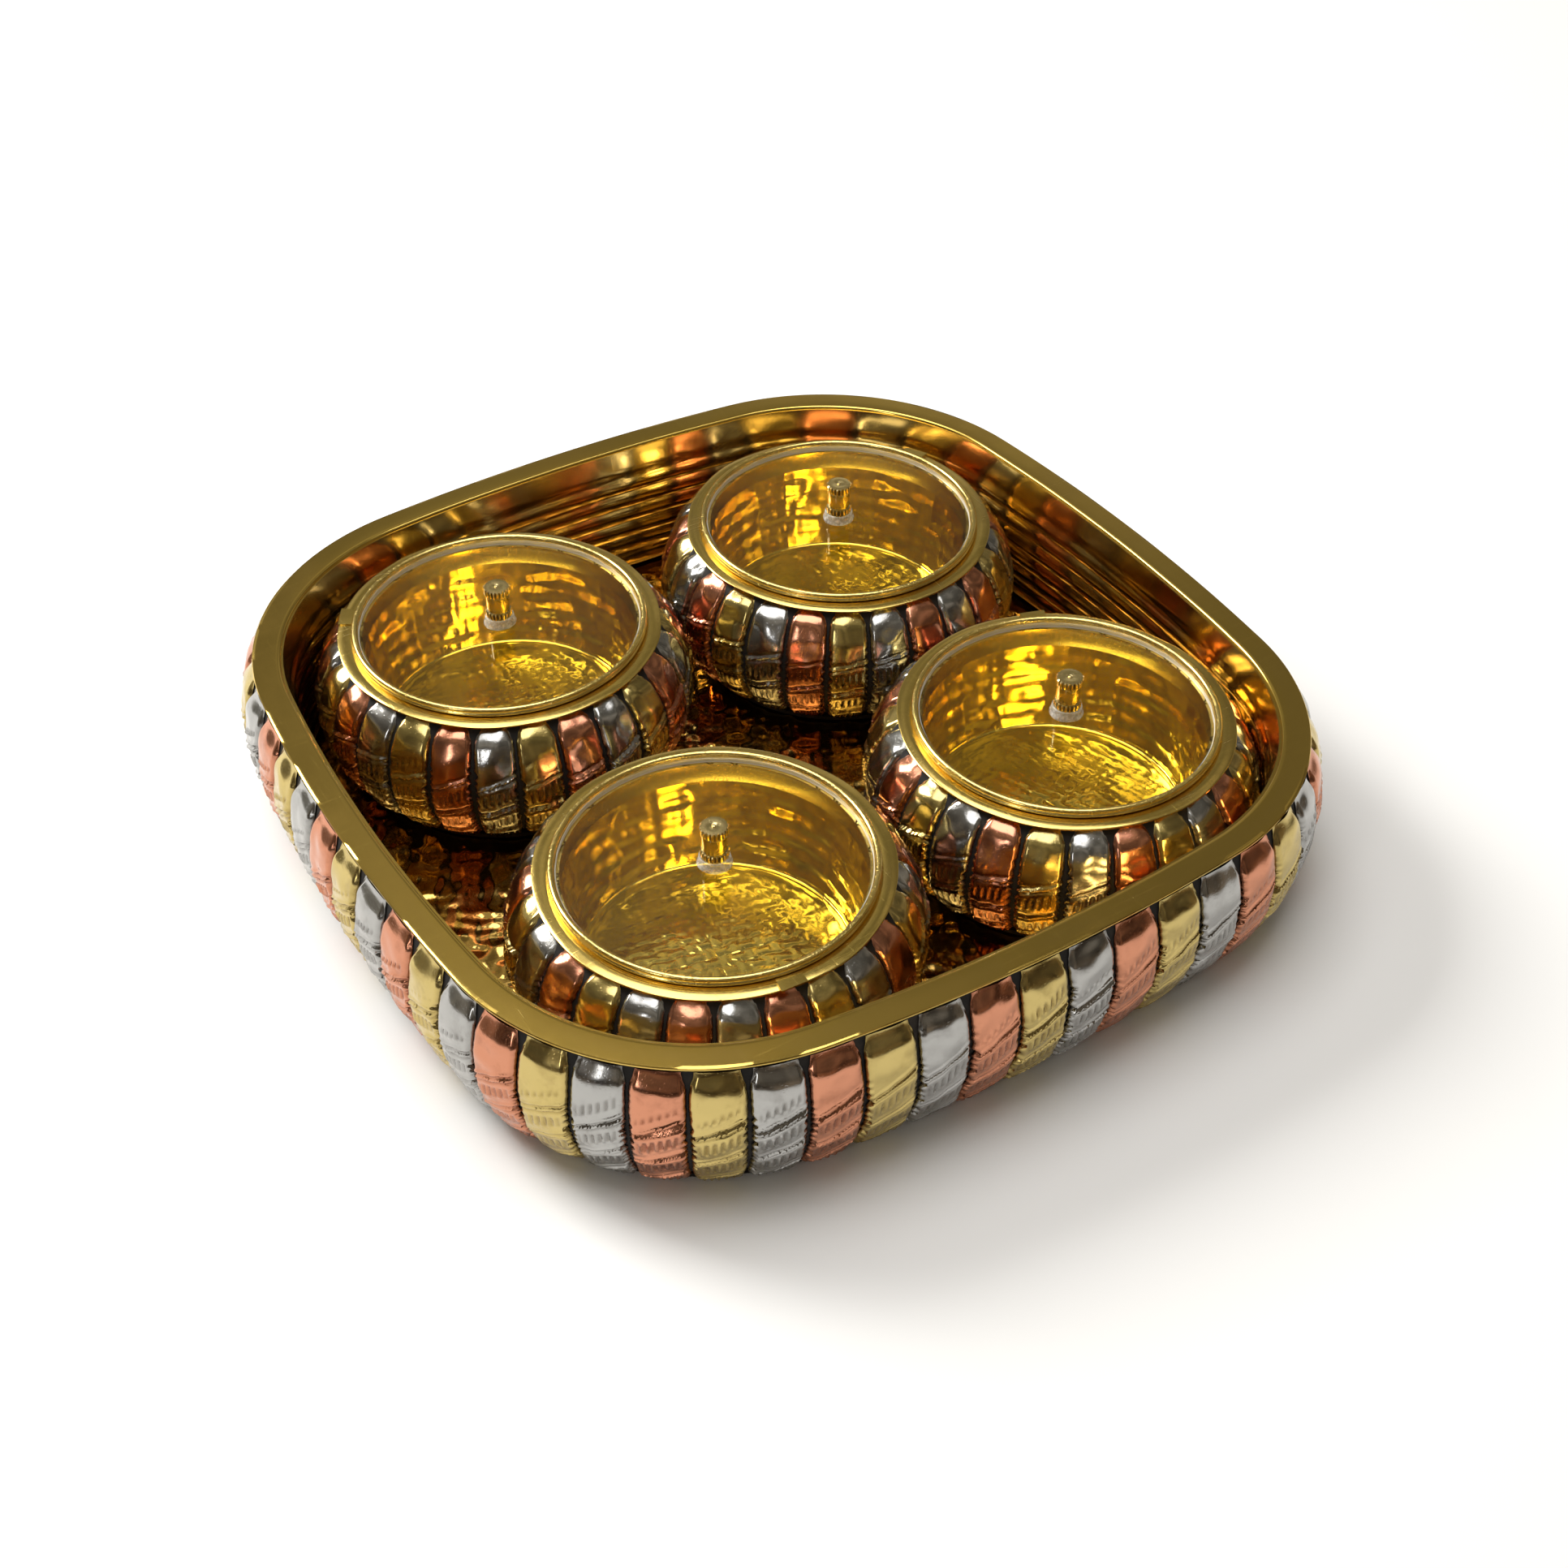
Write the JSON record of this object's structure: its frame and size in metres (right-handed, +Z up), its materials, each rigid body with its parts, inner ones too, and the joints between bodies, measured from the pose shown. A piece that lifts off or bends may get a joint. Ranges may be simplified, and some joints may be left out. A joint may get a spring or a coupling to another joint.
{
  "type": "spice box with lidded bowls",
  "caption": "Rounded square brass tray clad in tri-metal strips, holding lidded barrel-shaped spice bowls with clear lids and small turned knobs.",
  "frame": {"origin": "on the ground, at the middle of the tray's footprint", "axes": "+Z up; +X and +Y point out of the middles of two neighbouring sides of the tray; bowl 1 stands in the corner at -X -Y"},
  "size_m": [0.2642, 0.2642, 0.0573],
  "materials": {
    "hammered_brass": "hammered sheet, high gloss, amber reflections",
    "ribbed_brass": "pressed ribs, polished, light tarnish",
    "rim_brass": "flat sheet with fine scratches and a satin sheen",
    "cup_brass": "spun or hammered cup, bright and slightly wavy",
    "flange_brass": "flat sheet, satin, darkened at the edges",
    "ring_brass": "polished bead with speckled satin top",
    "knob_brass": "turned brass, polished, fluted ends",
    "strip_brass": "pale embossed sheet, polished",
    "strip_copper": null,
    "strip_silver": "white metal sheet, embossed, polished",
    "black_sheet": "blackened sheet, matt",
    "clear_acrylic": "clear acrylic with light scratches",
    "clear_bond": "clear bonding compound, glossy"
  },
  "bodies": {
    "tray": {"tray_base": "black_sheet", "tray_floor": "hammered_brass", "tray_shell": "black_sheet", "tray_liner": "ribbed_brass", "tray_rim": "rim_brass", "tray_strips_silver": "strip_silver", "tray_strips_copper": "strip_copper", "tray_strips_brass": "strip_brass"},
    "bowl_1": {"bowl_1_cup": "cup_brass", "bowl_1_flange": "flange_brass", "bowl_1_shell": "black_sheet", "bowl_1_foot": "black_sheet", "bowl_1_strips_silver": "strip_silver", "bowl_1_strips_copper": "strip_copper", "bowl_1_strips_brass": "strip_brass"},
    "lid_1": {"lid_1_ring": "ring_brass", "lid_1_disc": "clear_acrylic", "lid_1_collar": "clear_bond", "lid_1_knob": "knob_brass"},
    "bowl_2": {"bowl_2_cup": "cup_brass", "bowl_2_flange": "flange_brass", "bowl_2_shell": "black_sheet", "bowl_2_foot": "black_sheet", "bowl_2_strips_silver": "strip_silver", "bowl_2_strips_copper": "strip_copper", "bowl_2_strips_brass": "strip_brass"},
    "lid_2": {"lid_2_ring": "ring_brass", "lid_2_disc": "clear_acrylic", "lid_2_collar": "clear_bond", "lid_2_knob": "knob_brass"},
    "bowl_3": {"bowl_3_cup": "cup_brass", "bowl_3_flange": "flange_brass", "bowl_3_shell": "black_sheet", "bowl_3_foot": "black_sheet", "bowl_3_strips_silver": "strip_silver", "bowl_3_strips_copper": "strip_copper", "bowl_3_strips_brass": "strip_brass"},
    "lid_3": {"lid_3_ring": "ring_brass", "lid_3_disc": "clear_acrylic", "lid_3_collar": "clear_bond", "lid_3_knob": "knob_brass"},
    "bowl_4": {"bowl_4_cup": "cup_brass", "bowl_4_flange": "flange_brass", "bowl_4_shell": "black_sheet", "bowl_4_foot": "black_sheet", "bowl_4_strips_silver": "strip_silver", "bowl_4_strips_copper": "strip_copper", "bowl_4_strips_brass": "strip_brass"},
    "lid_4": {"lid_4_ring": "ring_brass", "lid_4_disc": "clear_acrylic", "lid_4_collar": "clear_bond", "lid_4_knob": "knob_brass"}
  },
  "joints": [
    {"name": "bowl_1_lift", "type": "slide", "parent": "tray", "child": "bowl_1", "axis": [0, 0, 1], "range_m": [0, 0.06]},
    {"name": "lid_1_lift", "type": "slide", "parent": "bowl_1", "child": "lid_1", "axis": [0, 0, 1], "range_m": [0, 0.03]},
    {"name": "bowl_2_lift", "type": "slide", "parent": "tray", "child": "bowl_2", "axis": [0, 0, 1], "range_m": [0, 0.06]},
    {"name": "lid_2_lift", "type": "slide", "parent": "bowl_2", "child": "lid_2", "axis": [0, 0, 1], "range_m": [0, 0.03]},
    {"name": "bowl_3_lift", "type": "slide", "parent": "tray", "child": "bowl_3", "axis": [0, 0, 1], "range_m": [0, 0.06]},
    {"name": "lid_3_lift", "type": "slide", "parent": "bowl_3", "child": "lid_3", "axis": [0, 0, 1], "range_m": [0, 0.03]},
    {"name": "bowl_4_lift", "type": "slide", "parent": "tray", "child": "bowl_4", "axis": [0, 0, 1], "range_m": [0, 0.06]},
    {"name": "lid_4_lift", "type": "slide", "parent": "bowl_4", "child": "lid_4", "axis": [0, 0, 1], "range_m": [0, 0.03]}
  ]
}
